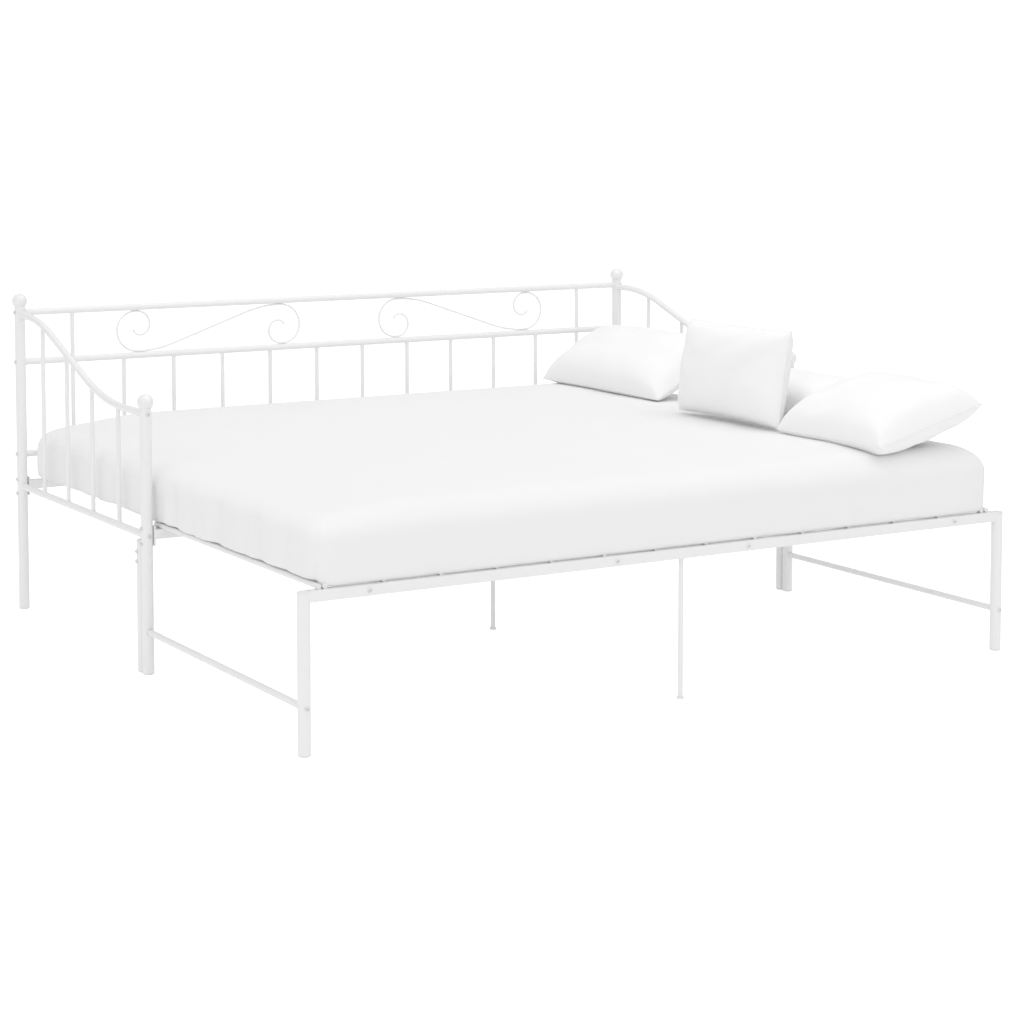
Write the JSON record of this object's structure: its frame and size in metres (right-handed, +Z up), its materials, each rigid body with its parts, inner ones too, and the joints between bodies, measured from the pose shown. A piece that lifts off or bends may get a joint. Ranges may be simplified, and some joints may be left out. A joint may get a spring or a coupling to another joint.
{
  "type": "daybed",
  "caption": "Metal daybed with scrolled backrest and curved ends, a pull-out half on its own legs, slats, mattress and pillows.",
  "frame": {"origin": "on the floor, in the middle of the plan of the pulled-out bed", "axes": "+X along the bed to the right seen from the front, +Y to the backrest, +Z up"},
  "size_m": [2.082, 1.874, 0.91],
  "materials": {
    "white_paint": "smooth white powder coat, slight gloss",
    "finial_gloss": "glossy white",
    "cap_plastic": "satin white moulded plastic",
    "bolt_steel": "zinc plated, satin",
    "insert_steel": "plain steel, hidden in the tubes",
    "mattress_fabric": "white woven cotton cover, matt",
    "pillow_fabric": "white cotton pillowcase, matt"
  },
  "bodies": {
    "daybed_frame": {"backrest_low_rail": "white_paint", "backrest_mid_rail": "white_paint", "backrest_spindle_01": "white_paint", "backrest_spindle_02": "white_paint", "backrest_spindle_03": "white_paint", "backrest_spindle_04": "white_paint", "backrest_spindle_05": "white_paint", "backrest_spindle_06": "white_paint", "backrest_spindle_07": "white_paint", "backrest_spindle_08": "white_paint", "backrest_spindle_09": "white_paint", "backrest_spindle_10": "white_paint", "backrest_spindle_11": "white_paint", "backrest_spindle_12": "white_paint", "backrest_top_rail": "white_paint", "backrest_upper_spindles": "white_paint", "daybed_centre_legs": "white_paint", "daybed_slats": "white_paint", "end_arm_left": "white_paint", "end_arm_right": "white_paint", "end_panel_spindles": "white_paint", "end_rail_left": "white_paint", "end_rail_right": "white_paint", "finial_back_left": "finial_gloss", "finial_back_right": "finial_gloss", "finial_front_left": "finial_gloss", "finial_front_right": "finial_gloss", "mattress": "mattress_fabric", "pillow_back": "pillow_fabric", "pillow_flat": "pillow_fabric", "pillow_front": "pillow_fabric", "pillow_upright": "pillow_fabric", "plate_bolts": "bolt_steel", "post_back_left": "white_paint", "post_back_right": "white_paint", "post_end_caps": "cap_plastic", "post_front_left": "white_paint", "post_front_right": "white_paint", "rail_inserts": "insert_steel", "scroll_left": "white_paint", "scroll_right": "white_paint", "slat_rail_back": "white_paint", "slat_rail_front": "white_paint", "tube_bolts": "bolt_steel"},
    "pull_out_frame": {"pull_out_bolts": "bolt_steel", "pull_out_centre_leg": "white_paint", "pull_out_end_caps": "cap_plastic", "pull_out_front_leg_left": "white_paint", "pull_out_front_leg_right": "white_paint", "pull_out_front_rail": "white_paint", "pull_out_rear_leg_left": "white_paint", "pull_out_rear_leg_right": "white_paint", "pull_out_rear_rail": "white_paint", "pull_out_side_rails": "white_paint", "pull_out_slat_bar": "white_paint", "pull_out_slats": "white_paint", "slat_bar_bolts": "bolt_steel", "stretcher_inserts": "insert_steel", "stretcher_left": "white_paint", "stretcher_right": "white_paint"}
  },
  "joints": [
    {"name": "pull_out_slide", "type": "slide", "parent": "daybed_frame", "child": "pull_out_frame", "axis": [0, 1, 0], "range_m": [0, 0.86]}
  ]
}
